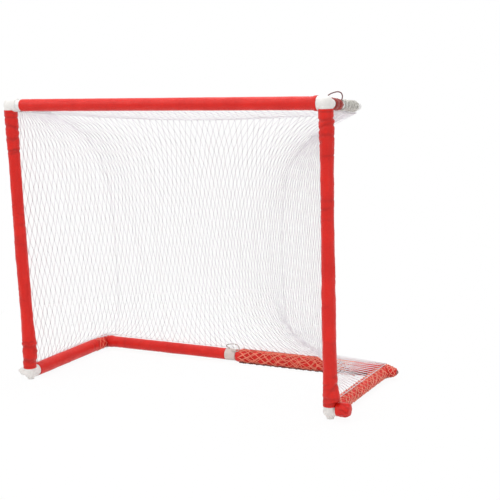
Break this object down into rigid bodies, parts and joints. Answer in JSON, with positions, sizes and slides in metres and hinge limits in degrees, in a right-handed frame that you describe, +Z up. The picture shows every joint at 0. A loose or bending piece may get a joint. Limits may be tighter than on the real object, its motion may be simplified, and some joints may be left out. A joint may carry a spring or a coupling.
{
  "type": "hockey goal net",
  "caption": "Portable hockey goal of white plastic pipe in red cloth sleeves, with push-on corner fittings, short rear arms and a hung white diamond net.",
  "frame": {"origin": "on the floor, under the centre of the goal's bounding box", "axes": "+X along the crossbar, to the right for a player who faces the goal's mouth; +Y from the mouth to the rear; +Z up"},
  "size_m": [1.4562, 0.5868, 1.1295],
  "materials": {
    "white_pipe": "smooth white rigid plastic pipe",
    "white_fitting": "moulded white rigid plastic, slightly creamy",
    "red_cloth": "padded woven red cloth",
    "dark_red_cloth": "gathered dark red cloth",
    "white_twine": "knotted white twine",
    "dark_elastic": "cloth-covered dark elastic cord"
  },
  "bodies": {
    "frame": {"crossbar_pipe": "white_pipe", "left_post_pipe": "white_pipe", "right_post_pipe": "white_pipe", "left_side_pipe": "white_pipe", "right_side_pipe": "white_pipe", "left_back_pipe": "white_pipe", "right_back_pipe": "white_pipe", "top_left_corner": "white_fitting", "top_right_corner": "white_fitting", "left_foot_corner": "white_fitting", "right_foot_corner": "white_fitting", "rear_left_corner": "white_fitting", "rear_right_corner": "white_fitting", "back_rail_coupling": "white_fitting", "left_foot_peg": "white_fitting", "right_foot_peg": "white_fitting", "rear_left_peg": "white_fitting", "rear_right_peg": "white_fitting", "crossbar_sleeve": "red_cloth", "left_post_sleeve": "red_cloth", "right_post_sleeve": "red_cloth", "left_side_sleeve": "red_cloth", "right_side_sleeve": "red_cloth", "left_back_sleeve": "red_cloth", "right_back_sleeve": "red_cloth", "rear_left_cover": "red_cloth", "rear_right_cover": "red_cloth", "right_foot_boot": "red_cloth", "back_net": "white_twine", "left_net": "white_twine", "right_net": "white_twine", "top_net": "white_twine", "right_side_net_wrap": "white_twine", "right_back_net_wrap": "white_twine", "base_elastic": "dark_elastic", "upper_elastic": "dark_elastic", "left_arm_elastic": "dark_elastic", "right_arm_elastic": "dark_elastic", "coupling_loop": "dark_elastic"},
    "left_arm": {"left_arm_pipe": "white_pipe", "left_arm_cap": "white_fitting", "left_arm_collar": "dark_red_cloth", "left_arm_lacing": "white_twine"},
    "right_arm": {"right_arm_pipe": "white_pipe", "right_arm_cap": "white_fitting", "right_arm_collar": "dark_red_cloth", "right_arm_lacing": "white_twine"}
  },
  "joints": [
    {"name": "left_arm_slide", "type": "slide", "parent": "frame", "child": "left_arm", "axis": [0, 0.9954, -0.0958], "range_m": [0, 0.03], "stiffness_N_per_m": 200, "springref_m": -0.02},
    {"name": "right_arm_slide", "type": "slide", "parent": "frame", "child": "right_arm", "axis": [0, 0.9954, -0.0958], "range_m": [0, 0.03], "stiffness_N_per_m": 200, "springref_m": -0.02}
  ]
}
